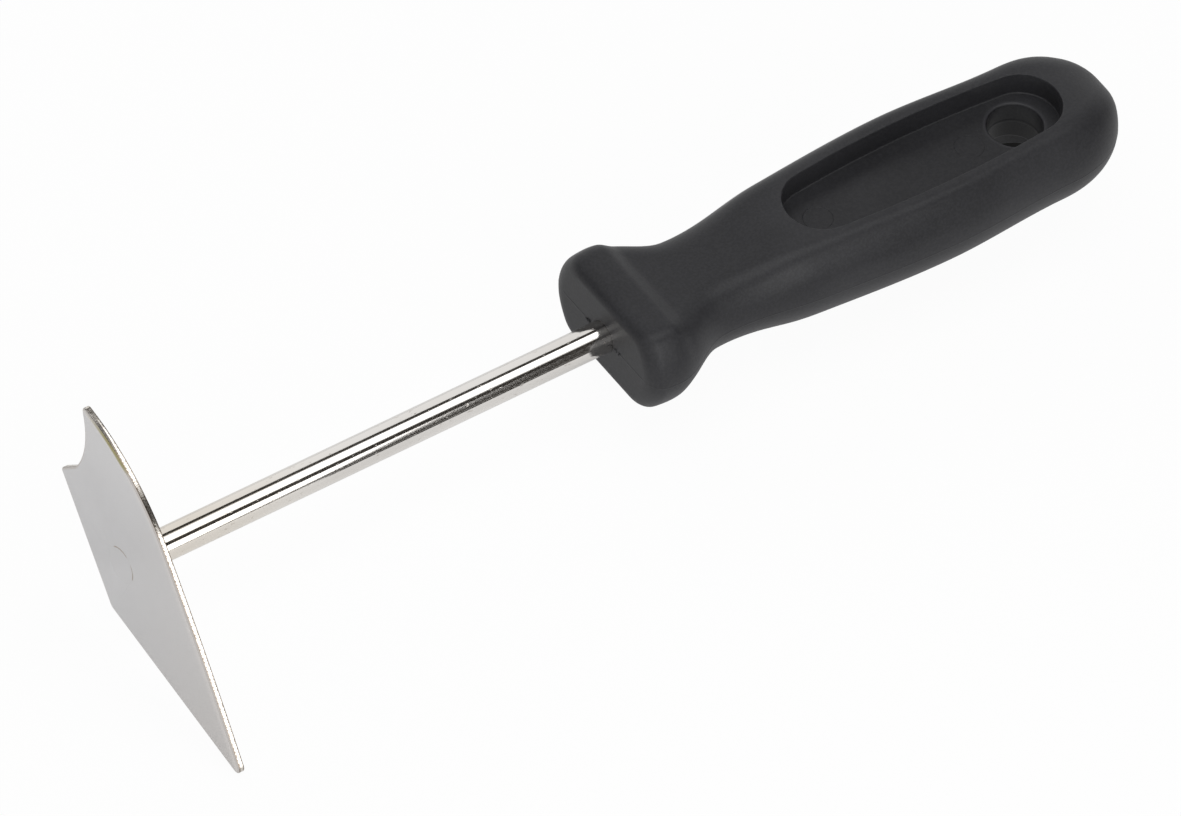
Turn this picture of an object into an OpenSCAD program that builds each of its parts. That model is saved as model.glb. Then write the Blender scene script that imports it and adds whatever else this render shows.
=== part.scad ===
// Hand scraper with a flat, shaped steel blade set square across the end of a round steel shaft,
// and a moulded plastic handle with a thumb recess in its top and bottom faces and a hanging hole.
// X runs along the shaft from the blade to the butt, Y across the handle, Z out of its top face.
// The origin is the middle of the blade's front face, on the shaft's axis. Sizes are millimetres.

/* [Blade] */
// Thickness of the blade plate
plate_t = 1.3; // [0.8:0.1:3]
// Reach of the long tip from the shaft's axis, across the handle
near_reach = 41.9; // [34:0.1:55]
// Drop of the long tip below the shaft's axis
near_drop = 20.3; // [16:0.1:26]
// Offset of the heel corner across the handle
heel_y = 2; // [-4:0.1:6]
// Drop of the heel corner below the shaft's axis
heel_drop = 13.5; // [10:0.1:18]
// Reach of the beak corner on the far side
beak_reach = 20.6; // [17:0.1:30]
// Height of the beak corner above the shaft's axis
beak_rise = 7.4; // [4:0.1:9]
// Reach of the corner where the hollow edge starts
land_reach = 16.2; // [12:0.1:16.8]
// Height of the corner where the hollow edge starts
land_rise = 11.8; // [10:0.1:15]
// Reach of the peak on the far side
peak_reach = 16.3; // [12:0.1:20]
// Height of the peak above the shaft's axis
peak_rise = 29.4; // [24:0.1:36]
// Offset of the shoulder between the two rounded edges
shoulder_reach = 12.7; // [9:0.1:18]
// Height of the shoulder above the shaft's axis
shoulder_rise = 14.6; // [11:0.1:18]
// Radius of the hollow edge
hollow_r = 19; // [12:0.5:40]
// Radius of the rounded edge between the peak and the shoulder
crown_r = 43; // [30:0.5:90]
// Radius of the slightly rounded long back edge
back_r = 450; // [150:10:900]
// Rounding of the long tip
near_tip_r = 1.2; // [0.4:0.1:2]
// Rounding of the heel corner
heel_r = 2; // [0.4:0.1:4]
// Rounding of the beak corner
beak_r = 0.7; // [0.3:0.1:1.2]
// Rounding of the peak
peak_r = 1; // [0.3:0.1:1.6]

/* [Shaft] */
// Diameter of the round shaft
shaft_d = 6.5; // [5:0.1:8]
// Length of shaft that shows between the blade and the handle
shaft_len = 107.4; // [60:0.1:180]
// Diameter of the spigot where it enters the back of the blade
spigot_d = 5; // [4:0.1:6]
// Diameter of the staked head, flush with the blade's front face
stake_d = 7.6; // [6.5:0.1:10]
// Length of the tang inside the handle
tang_len = 38; // [26:0.5:41]
// Distance from the handle's front face to the flattened part of the tang
wing_from = 22; // [12:0.5:24]
// Length of the flattened part of the tang
wing_len = 9; // [5:0.5:12]
// Width of the flattened part of the tang
wing_w = 8.6; // [7:0.1:10]
// Thickness of the flattened part of the tang
wing_t = 3.8; // [2.5:0.1:5]

/* [Handle] */
// Length of the handle
handle_len = 115; // [100:0.2:150]
// Half width of the collar at the middle of its height
collar_half_w = 17; // [15:0.1:20]
// Half thickness of the collar
collar_half_t = 9.7; // [9:0.1:12]
// Distance from the front face to the widest part of the collar
collar_at = 7.9; // [6:0.1:10]
// Length of the rounding of the collar's front edges, along the handle
front_len = 3; // [1:0.1:5]
// How far that rounding takes the sides in at the front face
front_side_cut = 3.7; // [1:0.1:4]
// How far that rounding takes the top and bottom in at the front face
front_top_cut = 2.4; // [1:0.1:3]
// Half width of the neck at its narrowest
neck_half_w = 11.7; // [10.5:0.1:14]
// Half thickness of the neck
neck_half_t = 8.2; // [7:0.1:9.2]
// Distance from the front face to the narrowest part of the neck
neck_at = 19.2; // [17:0.1:24]
// Half width of the grip where the thumb recess starts
shoulder_half_w = 14; // [12.5:0.1:15]
// Half width of the grip at its widest
grip_half_w = 15.8; // [15:0.1:20]
// Half thickness of the grip
grip_half_t = 9.65; // [9:0.1:12]
// Distance from the front face to the widest part of the grip
grip_at = 70.6; // [60:0.5:80]
// Half width where the rounding of the butt begins
butt_half_w = 14.5; // [12:0.1:16]
// Length of the rounded butt
butt_len = 17.6; // [14:0.1:24]
// How square the butt's sides close, where 2 is an ellipse
butt_side_power = 2.1; // [2:0.1:3]
// How square the butt's top and bottom close
butt_top_power = 2.5; // [2:0.1:3]
// How far the flat top is set in from the sides on the collar
collar_inset = 4.8; // [3:0.1:6]
// How far the flat top is set in from the sides on the neck
neck_inset = 4.2; // [3:0.1:6]
// How far the flat top is set in from the sides on the grip
grip_inset = 4.7; // [3:0.1:6]
// Rounding of the edge of the flat top on the collar and the grip
edge_round = 1.8; // [0.8:0.1:2.6]
// Rounding of the edge of the flat top on the neck
neck_round = 3.2; // [1:0.1:4]
// Rounding of the edge of the flat top at the end of the butt
butt_round = 6; // [2:0.1:8]

/* [Thumb recess and hanging hole] */
// Distance from the handle's front face to the recess
recess_from = 41.5; // [41:0.5:48]
// Solid length left behind the recess at the butt
recess_back = 12.3; // [11:0.1:18]
// Radius of the recess's two ends
recess_end_r = 7.5; // [6.8:0.1:8]
// Half width of the recess at its middle
recess_mid_w = 8.65; // [8.4:0.05:9.4]
// Thickness of the web between the two recesses
web_t = 9; // [8:0.1:11]
// Distance from the butt end of the recess to the middle of the hanging hole
hole_back = 8.9; // [8:0.1:12]
// Radius of the hanging hole
hole_r = 5.3; // [3.5:0.1:5.8]
// Rounding of the mouths of the hanging hole
hole_mouth_r = 0.5; // [0.3:0.1:0.9]

/* [Fits] */
// Gap between the staked spigot and the blade
stake_gap = 0.01; // [0.005:0.005:0.05]
// Gap between the tang and the plastic that is moulded round it
mould_gap = 0.02; // [0.01:0.01:0.1]

/* [Hidden] */
$fn = 96;

// Where the back of the blade and the front face of the handle are
plate_back = plate_t;
handle_x = plate_t + shaft_len;
butt_from = handle_len - butt_len;

// Middle of the hanging hole, a little ahead of the middle of the recess's round end
recess_to = handle_len - recess_back;
hole_at = recess_to - hole_back;

// Side and top profiles of the handle, as distances from its front face and half sizes
collar_edge = collar_at - 0.9;
neck_foot = collar_at + 2.8;
neck_end = neck_at + 8;
ramp_end = recess_from - 2;
width_line = [
    [0, collar_half_w - 0.1], [collar_at, collar_half_w], [neck_at, neck_half_w],
    [recess_from + 0.5, shoulder_half_w], [grip_at, grip_half_w], [butt_from, butt_half_w]
];
height_line = [
    [0, collar_half_t], [collar_edge, collar_half_t], [neck_foot, neck_half_t],
    [neck_end, neck_half_t], [ramp_end, grip_half_t], [butt_from, grip_half_t]
];
inset_line = [
    [0, collar_inset], [collar_edge, collar_inset], [neck_foot + 3, neck_inset],
    [neck_end, neck_inset], [ramp_end, grip_inset], [butt_from, grip_inset]
];
round_line = [
    [0, edge_round], [collar_edge, edge_round], [neck_foot + 1, neck_round],
    [neck_end, neck_round], [ramp_end, edge_round], [butt_from, edge_round],
    [handle_len, butt_round]
];

// The rounded edge of the flat top: its largest shares of the half sizes, and its drop for its reach
round_to_b = 0.6;
round_to_f = 0.8;
round_drop = 0.8;

// Steps round one quarter of the handle's section, and rings along its parts
flank_steps = 6;
edge_steps = 4;
front_rings = 7;
body_rings = 48;
butt_rings = 12;
butt_last = 0.994;
arc_step = 1.2;
corner_steps = 6;
end_steps = 24;
side_steps = 14;
over = 1;

// Smooth curve through stations [distance, value], level at both ends
function station(p, u, i = 0) = i >= len(p) - 2 || u < p[i + 1][0] ? i : station(p, u, i + 1);
function lean(p, i) =
    i == 0 || i == len(p) - 1 ? 0 : (p[i + 1][1] - p[i - 1][1]) / (p[i + 1][0] - p[i - 1][0]);
function along(p, u) =
    let (
        i = station(p, u),
        h = p[i + 1][0] - p[i][0],
        t = min(1, max(0, (u - p[i][0]) / h)),
        lift = h * (t * (1 - t) * (1 - t) * lean(p, i) - t * t * (1 - t) * lean(p, i + 1))
    )
    p[i][1] + (p[i + 1][1] - p[i][1]) * t * t * (3 - 2 * t) + lift;

// The front edges are rounded by a quarter ellipse and the butt closes as a slightly squarer one
function front_bend(u) = u >= front_len ? 0 : 1 - sqrt(1 - pow(1 - u / front_len, 2));
function butt_close(u, p) = u <= butt_from ? 1 : pow(1 - pow((u - butt_from) / butt_len, p), 1 / p);
function half_w(u) =
    along(width_line, u) * butt_close(u, butt_side_power) - front_side_cut * front_bend(u);
function half_t(u) =
    along(height_line, u) * butt_close(u, butt_top_power) - front_top_cut * front_bend(u);
function flat_w(u) =
    (along(width_line, u) - along(inset_line, u)) * butt_close(u, butt_side_power)
    - front_top_cut * front_bend(u);

// One quarter of a section: a bulging flank from the middle up, then the rounded edge of the flat
function flank(a, b, f, s) = [f + (a - f) * (1 - s * s), b * s];
function quarter(u) =
    let (
        a = half_w(u), b = half_t(u), f = flat_w(u),
        r = min(along(round_line, u), round_to_b * b, round_to_f * f),
        s_end = 1 - round_drop * r / b,
        foot = flank(a, b, f, s_end),
        knee = [foot[0] - 2 * (a - f) * s_end * (1 - s_end), b],
        top = [max(0, knee[0] - r), b]
    )
    concat(
        [for (i = [0:flank_steps]) flank(a, b, f, s_end * i / flank_steps)],
        [for (i = [1:edge_steps])
            let (t = i / edge_steps) foot * (1 - t) * (1 - t) + knee * 2 * t * (1 - t) + top * t * t]
    );
function ring(u) =
    let (q = quarter(u), n = len(q))
    concat(
        q,
        [[0, half_t(u)]],
        [for (i = [n - 1:-1:0]) [-q[i][0], q[i][1]]],
        [for (i = [1:n - 1]) [-q[i][0], -q[i][1]]],
        [[0, -half_t(u)]],
        [for (i = [n - 1:-1:1]) [q[i][0], -q[i][1]]]
    );
ring_at = concat(
    [for (i = [0:front_rings - 1]) front_len * (1 - cos(90 * i / front_rings))],
    [for (i = [0:body_rings - 1]) front_len + (butt_from - front_len) * i / body_rings],
    [for (i = [0:butt_rings]) butt_from + butt_len * butt_last * sin(90 * i / butt_rings)]
);

module handle_body() {
    rings = [for (u = ring_at) [for (p = ring(u)) [u, p[0], p[1]]]];
    n = len(rings[0]);
    last = len(rings) - 1;
    sides = [for (j = [0:last - 1], i = [0:n - 1], k = [0:1])
        let (a = j * n + i, b = j * n + (i + 1) % n)
        k == 0 ? [a, b, b + n] : [a, b + n, a + n]];
    polyhedron(
        points = [for (r = rings, p = r) p],
        faces = concat([[for (i = [n - 1:-1:0]) i]], sides, [[for (i = [0:n - 1]) last * n + i]])
    );
}

// Points of an arc of radius r about c, from one angle to another
function sweep(c, r, from, to, steps) =
    [for (i = [0:steps]) let (a = from + (to - from) * i / steps) c + r * [cos(a), sin(a)]];
function inner(pts) = [for (i = [1:len(pts) - 2]) pts[i]];

// Slot with round ends and long sides that bulge as arcs, tangent to the ends
module bulged_slot(from, to, end_r, mid_w) {
    reach = (to - from) / 2 - end_r;
    side_r = (reach * reach + mid_w * mid_w - end_r * end_r) / (2 * (mid_w - end_r));
    touch = asin(reach / (side_r - end_r));
    translate([(from + to) / 2, 0]) polygon(concat(
        sweep([reach, 0], end_r, touch - 90, 90 - touch, end_steps),
        inner(sweep([0, mid_w - side_r], side_r, 90 - touch, 90 + touch, side_steps)),
        sweep([-reach, 0], end_r, 90 + touch, 270 - touch, end_steps),
        inner(sweep([0, side_r - mid_w], side_r, 270 - touch, 270 + touch, side_steps))
    ));
}

module thumb_recess() {
    for (side = [0, 1]) mirror([0, 0, side]) translate([0, 0, web_t / 2])
        linear_extrude(grip_half_t) bulged_slot(recess_from, recess_to, recess_end_r, recess_mid_w);
}

// Straight bore whose two mouths round out into the recesses
module hanging_hole() {
    half = web_t / 2;
    straight = half - hole_mouth_r;
    translate([hole_at, 0, 0]) {
        cylinder(h = web_t + 2 * over, r = hole_r, center = true);
        for (side = [0, 1]) mirror([0, 0, side]) translate([0, 0, straight]) rotate_extrude()
            difference() {
                square([hole_r + hole_mouth_r, hole_mouth_r]);
                translate([hole_r + hole_mouth_r, 0]) circle(hole_mouth_r);
            }
    }
}

// Tang from a point in front of the handle: a round bar with one stretch pressed flat and wide
module tang(start, gap) {
    rotate([0, 90, 0]) {
        translate([0, 0, start]) cylinder(h = wing_from - start, d = shaft_d + 2 * gap);
        translate([0, 0, wing_from + wing_len])
            cylinder(h = tang_len + gap - wing_from - wing_len, d = shaft_d + 2 * gap);
    }
    translate([wing_from - gap, -wing_w / 2 - gap, -wing_t / 2 - gap])
        cube([wing_len + 2 * gap, wing_w + 2 * gap, wing_t + 2 * gap]);
}

module handle() {
    color([0.17, 0.17, 0.18]) translate([handle_x, 0, 0]) difference() {
        handle_body();
        thumb_recess();
        hanging_hole();
        tang(-over, mould_gap);
    }
}

module shaft() {
    color([0.8, 0.78, 0.74]) {
        rotate([0, 90, 0]) {
            cylinder(h = plate_t, d1 = stake_d, d2 = spigot_d);
            translate([0, 0, plate_back]) cylinder(h = shaft_len, d = shaft_d);
        }
        translate([handle_x, 0, 0]) tang(0, 0);
    }
}

// Points of an arc from p to q, bulging to the left of the way for a positive radius
function arc(p, q, r) =
    let (
        d = q - p,
        half = norm(d) / 2,
        side = r > 0 ? 1 : -1,
        n = [d[1], -d[0]] / norm(d),
        c = (p + q) / 2 + n * side * sqrt(r * r - half * half),
        a0 = atan2(p[1] - c[1], p[0] - c[0]),
        turn = -side * 2 * asin(half / abs(r))
    )
    sweep(c, abs(r), a0, a0 + turn, max(2, ceil(norm(d) / arc_step)));

// Points that round the corner c between the ways to a and to b
function corner(a, c, b, r) =
    let (
        ua = (a - c) / norm(a - c),
        ub = (b - c) / norm(b - c),
        half = acos(ua * ub) / 2,
        bisector = (ua + ub) / norm(ua + ub),
        m = c + bisector * r / sin(half),
        start = c + ua * r / tan(half) - m,
        a0 = atan2(start[1], start[0]),
        turn = (ua[0] * ub[1] - ua[1] * ub[0] > 0 ? -1 : 1) * (180 - 2 * half)
    )
    sweep(m, r, a0, a0 + turn, corner_steps);
function setback(a, c, b, r) = r / tan(acos((a - c) * (b - c) / norm(a - c) / norm(b - c)) / 2);
function clear_of(pts, c, d) = [for (p = pts) if (norm(p - c) > d) p];

// The outline of the blade, with Y to the right and Z up, seen from the handle's side
module blade_outline() {
    near = [-near_reach, -near_drop];
    heel = [heel_y, -heel_drop];
    beak = [beak_reach, beak_rise];
    land = [land_reach, land_rise];
    peak = [peak_reach, peak_rise];
    shoulder = [-shoulder_reach, shoulder_rise];
    hollow = arc(land, peak, hollow_r);
    crown = arc(peak, shoulder, -crown_r);
    back = arc(shoulder, near, -back_r);
    before_peak = hollow[len(hollow) - 2];
    after_peak = crown[1];
    before_near = back[len(back) - 2];
    peak_back = setback(before_peak, peak, after_peak, peak_r);
    near_back = setback(before_near, near, heel, near_tip_r);
    polygon(concat(
        corner(before_near, near, heel, near_tip_r),
        corner(near, heel, beak, heel_r),
        corner(heel, beak, land, beak_r),
        clear_of(hollow, peak, peak_back),
        corner(before_peak, peak, after_peak, peak_r),
        clear_of(crown, peak, peak_back),
        clear_of(inner(back), near, near_back)
    ));
}

module blade() {
    color([0.78, 0.77, 0.77]) difference() {
        rotate([90, 0, 90]) linear_extrude(plate_t) blade_outline();
        rotate([0, 90, 0])
            cylinder(h = plate_t, d1 = stake_d + 2 * stake_gap, d2 = spigot_d + 2 * stake_gap);
    }
}

blade();
shaft();
handle();
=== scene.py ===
# %% [markdown]
# # A hand scraper in three pieces
# The real tool is a flat steel blade, set square across the end of a round steel shaft, with a
# black plastic handle moulded round the shaft's other end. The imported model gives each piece's
# true size and place. This lesson opens it, and then builds a finer piece over each of its three
# nodes.

import math

import bmesh
import bpy
import numpy as np
from mathutils import Matrix, Vector
from mathutils.geometry import delaunay_2d_cdt


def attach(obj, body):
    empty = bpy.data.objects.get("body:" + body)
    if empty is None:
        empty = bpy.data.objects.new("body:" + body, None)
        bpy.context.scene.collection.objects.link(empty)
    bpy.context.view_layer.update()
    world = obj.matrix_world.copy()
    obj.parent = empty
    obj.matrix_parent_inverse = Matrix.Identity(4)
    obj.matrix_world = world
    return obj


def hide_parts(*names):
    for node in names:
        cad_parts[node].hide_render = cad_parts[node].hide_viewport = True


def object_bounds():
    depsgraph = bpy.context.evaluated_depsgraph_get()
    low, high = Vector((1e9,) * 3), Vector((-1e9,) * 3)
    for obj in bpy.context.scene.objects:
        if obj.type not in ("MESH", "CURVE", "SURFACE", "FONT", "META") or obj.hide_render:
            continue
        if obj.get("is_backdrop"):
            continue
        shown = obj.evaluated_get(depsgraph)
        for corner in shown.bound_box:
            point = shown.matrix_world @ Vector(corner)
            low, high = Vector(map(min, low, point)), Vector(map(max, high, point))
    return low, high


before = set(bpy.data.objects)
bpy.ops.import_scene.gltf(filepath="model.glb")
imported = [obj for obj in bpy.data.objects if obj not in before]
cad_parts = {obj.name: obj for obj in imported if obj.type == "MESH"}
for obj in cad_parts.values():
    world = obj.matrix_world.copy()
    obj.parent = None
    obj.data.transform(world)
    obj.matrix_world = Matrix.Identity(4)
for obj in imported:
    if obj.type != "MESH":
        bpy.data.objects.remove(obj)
cad_low, cad_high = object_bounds()
MM = 0.001
print("CAD box, mm:", [round(v / MM, 2) for v in (*cad_low, *cad_high)])

# %% [markdown]
# ## The camera
# The tool was photographed from far away with a long lens, so its parallel edges stay parallel. A
# camera could be placed by eye, but here its three axes are written down: right, down and away,
# as seen in the picture. Rows of that kind make the camera's matrix at once, and nothing has to
# be turned by hand.

# %% Place the camera
RIGHT = Vector((0.81897, -0.57016, 0.06483))
DOWN = Vector((-0.39024, -0.63620, -0.66555))
AWAY = Vector((0.42072, 0.51977, -0.74353))
STANDS_AT = Vector((-2466.23, -3179.50, 4528.96)) * MM

camera = bpy.data.objects.new("camera", bpy.data.cameras.new("camera"))
bpy.context.scene.collection.objects.link(camera)
bpy.context.scene.camera = camera
camera.data.lens = 1000
camera.data.sensor_width = 36
camera.data.clip_start = 0.5
camera.data.clip_end = 60
turn = Matrix((RIGHT, -DOWN, -AWAY)).transposed().to_4x4()
camera.matrix_world = Matrix.Translation(STANDS_AT) @ turn
print("camera stands", round(STANDS_AT.length, 2), "m from the blade")

# %% [markdown]
# ## Sizes
# The shapes below follow the same sizes as the model: distances along the shaft from the blade's
# front face, and half widths and half heights of the handle. A smooth curve through a few
# stations gives each profile. A spline tool would do as well, but this Hermite curve is level at
# both ends and never needs its handles tuned.

# %% Curves through stations
PLATE_T = 1.3
HANDLE_X = 108.7
HANDLE_LEN = 115.0
GRIP_WIDEST = 70.6
BUTT_LEN = 17.6
BUTT_FROM = HANDLE_LEN - BUTT_LEN
# the butt closes as two power curves, a hair before the solid's end so that it stays inside
BUTT_SIDE, BUTT_TOP = 2.1, 2.5
BUTT_TIP = BUTT_LEN * 0.994
FRONT_LEN, FRONT_SIDE_CUT, FRONT_TOP_CUT = 3.0, 3.7, 2.4


def through(stations):
    """A function that gives the smooth curve's value at a distance."""
    at = np.array([s[0] for s in stations], float)
    value = np.array([s[1] for s in stations], float)
    lean = np.zeros(len(at))
    lean[1:-1] = (value[2:] - value[:-2]) / (at[2:] - at[:-2])

    def curve(u):
        i = np.clip(np.searchsorted(at, u, side="right") - 1, 0, len(at) - 2)
        h = at[i + 1] - at[i]
        t = np.clip((u - at[i]) / h, 0, 1)
        lift = h * (t * (1 - t) ** 2 * lean[i] - t * t * (1 - t) * lean[i + 1])
        return value[i] + (value[i + 1] - value[i]) * t * t * (3 - 2 * t) + lift

    return curve


side_at = through(
    [(0, 16.9), (7.9, 17), (19.2, 11.7), (42, 14), (GRIP_WIDEST, 15.8), (BUTT_FROM, 14.5)]
)
height_at = through(
    [(0, 9.7), (7, 9.7), (10.7, 8.2), (27.2, 8.2), (39.5, 9.65), (BUTT_FROM, 9.65)]
)
inset_at = through(
    [(0, 4.8), (7, 4.8), (13.7, 4.2), (27.2, 4.2), (39.5, 4.7), (BUTT_FROM, 4.7)]
)
round_at = through(
    [(0, 1.8), (7, 1.8), (11.7, 3.2), (27.2, 3.2), (39.5, 1.8), (BUTT_FROM, 1.8), (HANDLE_LEN, 6)]
)
print("half width at the grip:", round(float(side_at(GRIP_WIDEST)), 2), "mm")

# %% [markdown]
# ## One section of the handle
# Cut across, the grip has a flat top and bottom and two flanks that bulge as parabolas to the
# mould's parting plane. Only the quarter above the plane is worked out, because the handle is the
# same on all four sides. Its first points sit close together: they raise the thin bead that the
# closing mould leaves along the side.

# %% The handle's section
FLANK_STEPS, EDGE_STEPS, TOP_STEPS = 14, 9, 26
BEAD_Z = np.array([0, 0.05, 0.1, 0.16, 0.26, 0.5])
BEAD_H, BEAD_W = 0.045, 0.085
# the knee's rounding takes at most these shares of the height and of the flat top's half width
KNEE_OF_HEIGHT, KNEE_OF_TOP, KNEE_DROP = 0.6, 0.8, 0.8


def front_bend(u):
    """How far the front edge is rounded off at u: 1 at the very front, 0 past FRONT_LEN."""
    to_go = 1 - np.minimum(u, FRONT_LEN) / FRONT_LEN
    return np.where(u >= FRONT_LEN, 0, 1 - np.sqrt(1 - to_go**2))


def butt_close(u, power):
    """The share of the section's size that is left at u: 1 before the butt, 0 at its tip."""
    gone = np.maximum(0, u - BUTT_FROM) / BUTT_TIP
    return np.maximum(0, 1 - gone**power) ** (1 / power)


def top_z(u):
    return height_at(u) * butt_close(u, BUTT_TOP) - FRONT_TOP_CUT * front_bend(u)


def quarter(u):
    """Points (y, z) of one quarter of the section, from the parting plane to the flat top."""
    close = butt_close(u, BUTT_SIDE)
    a = float(side_at(u) * close - FRONT_SIDE_CUT * front_bend(u)) - BEAD_H
    b = float(top_z(u))
    f = float((side_at(u) - inset_at(u)) * close - FRONT_TOP_CUT * front_bend(u))
    r = min(float(round_at(u)), KNEE_OF_HEIGHT * b, KNEE_OF_TOP * f)
    s_end = 1 - KNEE_DROP * r / b
    z = np.minimum(BEAD_Z, b / 2)
    s = np.concatenate([z / b, np.linspace(z[-1] / b, s_end, FLANK_STEPS)[1:]])
    flank = np.stack([f + (a - f) * (1 - s * s), b * s], 1)
    flank[:, 0] += BEAD_H * np.exp(-((flank[:, 1] / BEAD_W) ** 2)) * min(1, b)
    foot = flank[-1]
    knee = np.array([foot[0] - 2 * (a - f) * s_end * (1 - s_end), b])
    top = np.array([max(0.0, knee[0] - r), b])
    t = (np.arange(1, EDGE_STEPS + 1) / EDGE_STEPS)[:, None]
    return np.concatenate([flank, foot * (1 - t) ** 2 + knee * 2 * t * (1 - t) + top * t * t])


print("points in a quarter:", len(quarter(GRIP_WIDEST)))

# %% [markdown]
# ## A small mesh maker
# Each piece is put together from patches: grids of points, and flat faces with holes in them. The
# maker collects them as plain lists, and at the end joins points that lie on each other and turns
# every face outwards. A flat face with holes is cut into triangles by Delaunay, which keeps every
# edge of its outlines.

# %% Mesh maker
def shade_by_area(mesh):
    """Gives each point the mean normal of its faces. Large faces count more, so they look flat."""
    normals = np.zeros((len(mesh.vertices), 3))
    for face in mesh.polygons:
        normals[list(face.vertices)] += np.array(face.normal) * face.area
    normals /= np.linalg.norm(normals, axis=1)[:, None] + 1e-30
    mesh.normals_split_custom_set_from_vertices([tuple(n) for n in normals])


class Patches:
    """Collects points and faces, in mm."""

    def __init__(self):
        self.points, self.faces = [], []

    def add(self, points, faces):
        base = len(self.points)
        self.points.extend(tuple(p) for p in points)
        self.faces.extend(tuple(base + i for i in f) for f in faces)

    def grid(self, rows, closed=False):
        """Quads between rows of points. closed also joins each row's last point to its first."""
        rows = np.asarray(rows, float)
        n, m = rows.shape[:2]
        across = m if closed else m - 1
        faces = [
            (i * m + j, i * m + (j + 1) % m, (i + 1) * m + (j + 1) % m, (i + 1) * m + j)
            for i in range(n - 1)
            for j in range(across)
        ]
        self.add(rows.reshape(-1, 3), faces)

    def flat(self, loops, place, keep):
        """Triangles of a flat face. place makes a spot 3-D, and keep says whether it is inside."""
        pts, edges = [], []
        for loop in loops:
            base, n = len(pts), len(loop)
            pts.extend(Vector((float(p[0]), float(p[1]))) for p in loop)
            edges.extend((base + i, base + (i + 1) % n) for i in range(n))
        out, _, tris, _, _, _ = delaunay_2d_cdt(pts, edges, [], 0, 1e-6)
        kept = [t for t in tris if keep(sum((out[i] for i in t), Vector((0, 0))) / len(t))]
        self.add([place(p.x, p.y) for p in out], kept)

    def build(self, name, join=0.002, mirror=None, weigh=False):
        """The finished object, in metres, with its points joined and its faces pointing out."""
        mesh = bpy.data.meshes.new(name)
        points = [Vector(p) * MM for p in self.points]
        faces = list(self.faces)
        if mirror is not None:
            base = len(points)
            flip = Vector([-1 if i == mirror else 1 for i in range(3)])
            points += [p * flip for p in points]
            faces += [tuple(base + i for i in reversed(f)) for f in self.faces]
        mesh.from_pydata(points, [], faces)
        work = bmesh.new()
        work.from_mesh(mesh)
        bmesh.ops.remove_doubles(work, verts=work.verts, dist=join * MM)
        loose = [v for v in work.verts if not v.link_faces]
        bmesh.ops.delete(work, geom=loose, context="VERTS")
        bmesh.ops.recalc_face_normals(work, faces=work.faces)
        open_edges = sum(1 for e in work.edges if len(e.link_faces) != 2)
        volume = work.calc_volume(signed=True)
        if volume < 0:
            bmesh.ops.reverse_faces(work, faces=work.faces)
        work.to_mesh(mesh)
        work.free()
        mesh.shade_smooth()
        if weigh:
            shade_by_area(mesh)
        piece = bpy.data.objects.new(name, mesh)
        bpy.context.scene.collection.objects.link(piece)
        cm3 = round(abs(volume) * 1e6, 2)
        print(name, "faces", len(mesh.polygons), "open edges", open_edges, "cm3", cm3)
        return piece


# %% [markdown]
# ## The thumb recess
# A hollow with round ends and slightly bulging sides is moulded into the top and the bottom of
# the grip. It could be cut out with a Boolean, but that leaves long thin triangles that shade
# badly. Here every rim point lies on a ray from the recess's middle line, at a given distance
# from its outline, so rounded lip, wall and floor fillet become neat loops with the same number
# of points as the top's outer edge.

# %% Distance from the recess's outline
SLOT_FROM, SLOT_TO, SLOT_END_R, SLOT_MID_W = 41.5, 102.7, 7.5, 8.65
SLOT_MID = (SLOT_FROM + SLOT_TO) / 2
SLOT_REACH = (SLOT_TO - SLOT_FROM) / 2 - SLOT_END_R
SLOT_BULGE = SLOT_MID_W - SLOT_END_R
SLOT_SIDE_R = (SLOT_REACH**2 + SLOT_MID_W**2 - SLOT_END_R**2) / (2 * SLOT_BULGE)
PAST_OUTLINE, HALVINGS = 20, 40


def slot_distance(x, y):
    """How far a spot is outside the recess's outline, negative inside it."""
    x, y = abs(x - SLOT_MID), abs(y)
    drop = SLOT_SIDE_R - SLOT_MID_W
    if x * drop > SLOT_REACH * (y + drop):
        return math.hypot(x - SLOT_REACH, y) - SLOT_END_R
    return math.hypot(x, y + drop) - SLOT_SIDE_R


def on_ray(x, y, away):
    """The spot at distance away from the outline, going from the middle line to (x, y)."""
    cx = min(max(x, SLOT_MID - SLOT_REACH), SLOT_MID + SLOT_REACH)
    length = math.hypot(x - cx, y)
    dx, dy = (x - cx) / length, y / length
    low, high = 0.0, length + PAST_OUTLINE
    for _ in range(HALVINGS):
        mid = (low + high) / 2
        low, high = (mid, high) if slot_distance(cx + dx * mid, dy * mid) < away else (low, mid)
    return cx + dx * low, dy * low


print("outline at mid length:", round(-slot_distance(SLOT_MID, 0), 2), "mm wide on each side")

# %% [markdown]
# ## The handle's outside
# Sections are strung along the handle like ribs in a hull, closer together where the collar, the
# neck and the butt turn quickly. Round the recess the ribs stop at the top's edge, and a ring of
# quads from that edge to the recess's lip takes over. Half of the moulding is made, and its
# mirror image across the parting plane is the rest.

# %% Ribs of the handle
PATCH_FROM, PATCH_TO = 38.2, 104.4
COLLAR_TO, COLLAR_STEP, NECK_FROM, RIB_GAP = 13.01, 0.42, 13.3, 0.2
FRONT_RIBS, NECK_RIBS, GRIP_RIBS, BUTT_RIBS, LAST_RIB = 13, 36, 56, 44, 0.9999
front_ribs = FRONT_LEN * (1 - np.cos(np.linspace(0, np.pi / 2, FRONT_RIBS)))[:-1]
collar_ribs = np.arange(FRONT_LEN, COLLAR_TO, COLLAR_STEP)
neck_ribs = np.linspace(NECK_FROM, PATCH_FROM, NECK_RIBS)
grip_ribs = np.linspace(PATCH_FROM, BUTT_FROM, GRIP_RIBS)[1:]
butt_ribs = BUTT_FROM + BUTT_TIP * np.sin(np.linspace(0, np.pi / 2, BUTT_RIBS))[1:]
before_patch = np.concatenate([front_ribs, collar_ribs, neck_ribs])
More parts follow.
